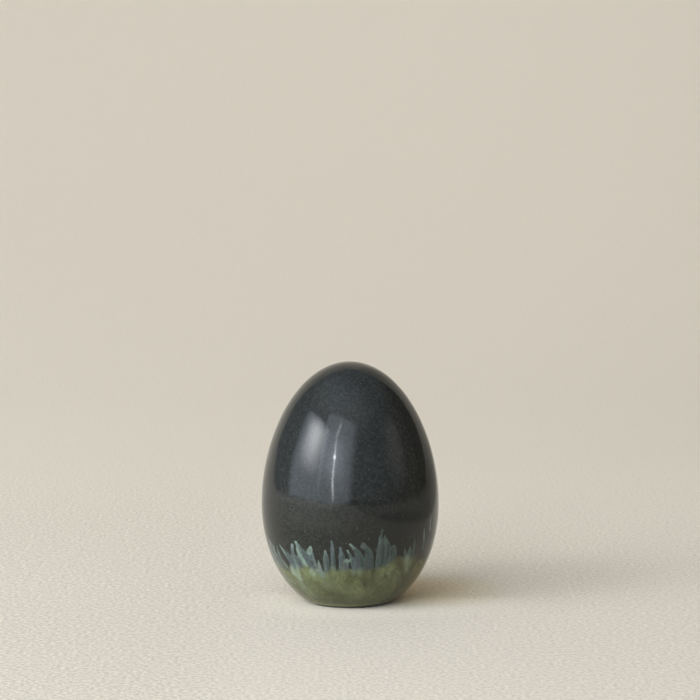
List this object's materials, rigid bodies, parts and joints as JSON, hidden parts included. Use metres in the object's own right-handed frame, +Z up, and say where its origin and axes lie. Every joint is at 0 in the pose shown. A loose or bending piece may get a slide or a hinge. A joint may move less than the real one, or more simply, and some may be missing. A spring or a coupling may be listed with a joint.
{
  "type": "ceramic egg",
  "caption": "Glazed ceramic egg that stands on a small flat foot, with a dark glossy body, brushed grass blades and a mossy green band round its base.",
  "frame": {"origin": "centre of the flat foot that the egg stands on", "axes": "+Z up along the egg's axis of revolution, from the foot to the crown; -Y faces the side with the described glaze runs"},
  "size_m": [0.054, 0.054, 0.0731],
  "materials": {
    "glaze": "glossy fired glaze, blue-black above and moss green at the base, with brushed grey-teal blades between"
  },
  "bodies": {
    "root": {"egg": "glaze"}
  },
  "joints": []
}
